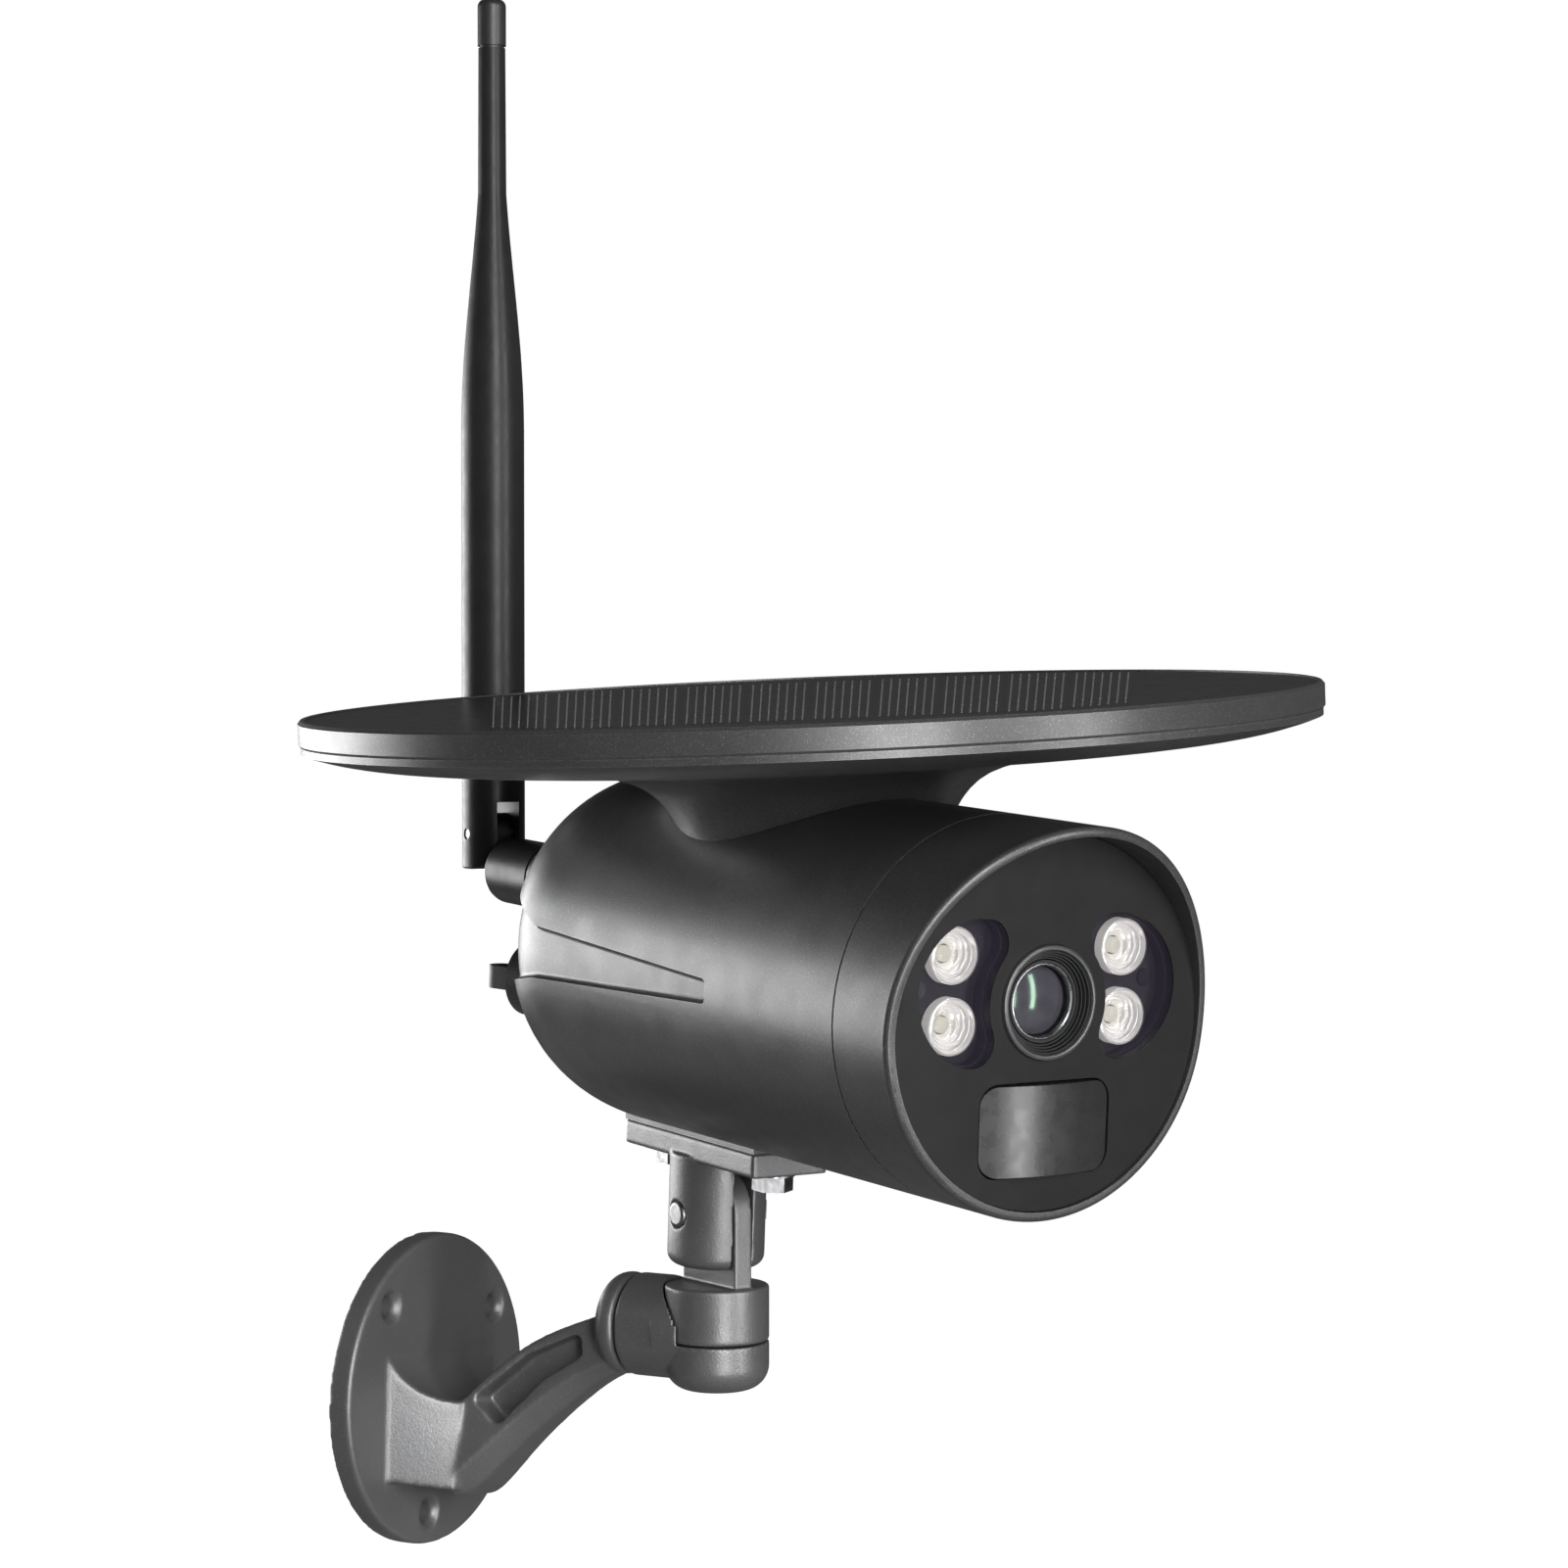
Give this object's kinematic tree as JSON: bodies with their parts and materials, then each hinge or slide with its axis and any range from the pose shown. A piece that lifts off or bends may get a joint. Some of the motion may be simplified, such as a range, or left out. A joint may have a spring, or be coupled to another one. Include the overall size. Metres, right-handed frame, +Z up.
{
  "type": "security camera",
  "caption": "Battery bullet security camera on a three-joint wall bracket, with a round solar panel on top, a hooded front with lamps and motion lens, and a folding whip antenna.",
  "frame": {"origin": "centre of the wall plate's back face; the wall is the plane Y = 0", "axes": "-Y away from the wall, +Z up"},
  "size_m": [0.1956, 0.2023, 0.3219],
  "materials": {
    "bracket_coat": "dark grey powder coat on die-cast aluminium, fine grain, satin",
    "housing_coat": "dark grey fine-textured paint on moulded shell, satin",
    "face_gloss": "near-black polished acrylic",
    "inner_black": "matt black moulding",
    "pir_plastic": "dark translucent polyethylene, smooth satin",
    "clear_window": "clear hard-coated acrylic",
    "lens_glass": "coated lens glass, violet and green reflection",
    "led_optic": "clear moulded optic",
    "reflector_chrome": "metallised plastic bowl",
    "led_phosphor": "phosphor-filled silicone",
    "circuit_board": "green solder mask",
    "plated_steel": "bright zinc plate",
    "stainless": "turned stainless",
    "gold_brass": "gold-plated brass",
    "seal_rubber": "black silicone rubber",
    "cover_rubber": "soft dark rubber",
    "whip_rubber": "matt black moulded elastomer",
    "tip_plastic": "matt black plastic cap",
    "cell_wrap": "blue shrink wrap over a steel can, average density of a cell",
    "solar_glass": "black monocrystalline laminate under clear cover",
    "button_plastic": "grey moulded key"
  },
  "bodies": {
    "wall_bracket": {"bracket_arm": "bracket_coat", "elbow_bolt": "plated_steel", "elbow_washer": "seal_rubber"},
    "elbow": {"elbow_cup": "bracket_coat"},
    "swivel": {"swivel_post": "bracket_coat", "pan_screw": "plated_steel", "pan_washer": "seal_rubber"},
    "antenna_base": {"antenna_collar": "whip_rubber", "antenna_knuckle": "plated_steel"},
    "antenna": {"antenna_whip": "whip_rubber", "antenna_tip": "tip_plastic", "antenna_pin": "plated_steel", "antenna_element": "gold_brass"},
    "rear_cover": {"port_cover": "cover_rubber"},
    "power_key": {"power_button": "button_plastic"},
    "reset_key": {"reset_button": "button_plastic"},
    "camera_head": {"mount_fork": "bracket_coat", "pivot_bolt": "plated_steel", "pivot_nut": "plated_steel", "pivot_washers": "inner_black", "mount_bolts": "plated_steel", "housing_shell": "housing_coat", "front_bezel": "housing_coat", "bezel_seal": "seal_rubber", "face_plate": "face_gloss", "face_baffle": "inner_black", "led_window_left": "clear_window", "led_window_right": "clear_window", "led_reflectors": "reflector_chrome", "led_lenses": "led_optic", "led_chips": "led_phosphor", "led_board": "circuit_board", "status_light_pipe": "led_optic", "light_sensor": "face_gloss", "lens_ring": "housing_coat", "lens_barrel": "inner_black", "lens_glass": "lens_glass", "rear_lens": "lens_glass", "lens_holder": "inner_black", "sensor_board": "circuit_board", "image_sensor": "face_gloss", "pir_lens": "pir_plastic", "pir_sensor": "stainless", "inner_frame": "inner_black", "main_board": "circuit_board", "battery_cells": "cell_wrap", "battery_holder": "inner_black", "speaker": "inner_black", "microphone": "stainless", "usb_port": "stainless", "port_board": "circuit_board", "panel_base": "housing_coat", "panel_rim": "housing_coat", "solar_laminate": "solar_glass", "panel_backing": "inner_black", "stem_screws": "plated_steel", "panel_lead": "seal_rubber", "antenna_jack": "gold_brass"}
  },
  "joints": [
    {"name": "elbow_turn", "type": "hinge", "parent": "wall_bracket", "child": "elbow", "pos_m": [0.00227, -0.05204, 0.017], "axis": [0, -1, 0], "range_deg": [-90, 90]},
    {"name": "pan", "type": "hinge", "parent": "elbow", "child": "swivel", "pos_m": [0.00227, -0.0703, 0.02], "axis": [0, 0, 1], "range_deg": [-63.19, 116.81]},
    {"name": "tilt", "type": "hinge", "parent": "swivel", "child": "camera_head", "pos_m": [0.00227, -0.0703, 0.041], "axis": [0.8925, -0.451, 0], "range_deg": [-33.19, 56.81]},
    {"name": "antenna_turn", "type": "hinge", "parent": "camera_head", "child": "antenna_base", "pos_m": [0.01935, -0.01566, 0.10593], "axis": [0.4503, 0.8911, 0.0556], "range_deg": [-90, 90]},
    {"name": "antenna_fold", "type": "hinge", "parent": "antenna_base", "child": "antenna", "pos_m": [0.0264, -0.00171, 0.11389], "axis": [-0.8925, 0.451, 0], "range_deg": [0, 86]},
    {"name": "cover_flap", "type": "hinge", "parent": "camera_head", "child": "rear_cover", "pos_m": [0.00491, -0.02967, 0.08072], "axis": [-0.9852, 0.1708, -0.0163], "range_deg": [0, 110]},
    {"name": "power_press", "type": "slide", "parent": "camera_head", "child": "power_key", "axis": [-0.1697, -0.9841, -0.0532], "range_m": [0, 0.0005], "stiffness_N_per_m": 800, "springref_m": -0.0003},
    {"name": "reset_press", "type": "slide", "parent": "camera_head", "child": "reset_key", "axis": [-0.1697, -0.9841, -0.0532], "range_m": [0, 0.0005], "stiffness_N_per_m": 800, "springref_m": -0.0003}
  ]
}
